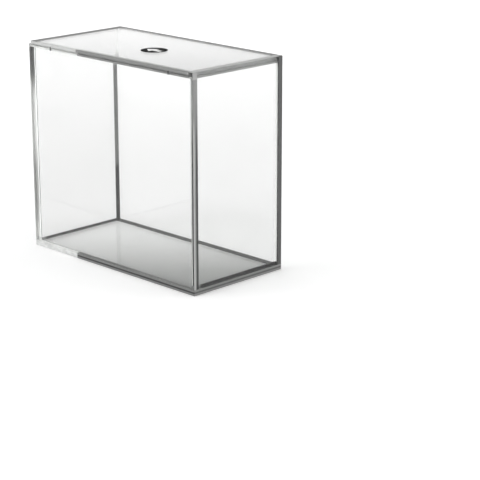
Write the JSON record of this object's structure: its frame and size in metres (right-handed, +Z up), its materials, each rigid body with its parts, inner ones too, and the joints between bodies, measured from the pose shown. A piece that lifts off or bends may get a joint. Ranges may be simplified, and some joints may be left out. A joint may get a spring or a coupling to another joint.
{
  "type": "display case",
  "caption": "Clear acrylic display case: glued base and walls, with a stepped lid that lies over the long walls and slides out lengthwise in grooves under their rims and is held shut by small magnet pins.",
  "frame": {"origin": "centre of the underside, on the surface the case stands on", "axes": "+X along the length, towards the end wall that stops the lid; +Y from the front long wall to the back one; +Z up"},
  "size_m": [0.205, 0.103, 0.185],
  "materials": {
    "clear_acrylic": "clear cast acrylic sheet with polished edges",
    "plated_magnet": "bright nickel plate"
  },
  "bodies": {
    "case": {"base_panel": "clear_acrylic", "front_panel": "clear_acrylic", "back_panel": "clear_acrylic", "exit_end_panel": "clear_acrylic", "stop_end_panel": "clear_acrylic", "wall_magnet_1": "plated_magnet", "wall_magnet_2": "plated_magnet", "wall_magnet_3": "plated_magnet", "wall_magnet_4": "plated_magnet"},
    "lid": {"sliding_lid": "clear_acrylic", "lid_magnet_1": "plated_magnet", "lid_magnet_2": "plated_magnet", "lid_magnet_3": "plated_magnet", "lid_magnet_4": "plated_magnet"}
  },
  "joints": [
    {"name": "lid_slide", "type": "slide", "parent": "case", "child": "lid", "axis": [-1, 0, 0], "range_m": [0, 0.197]}
  ]
}
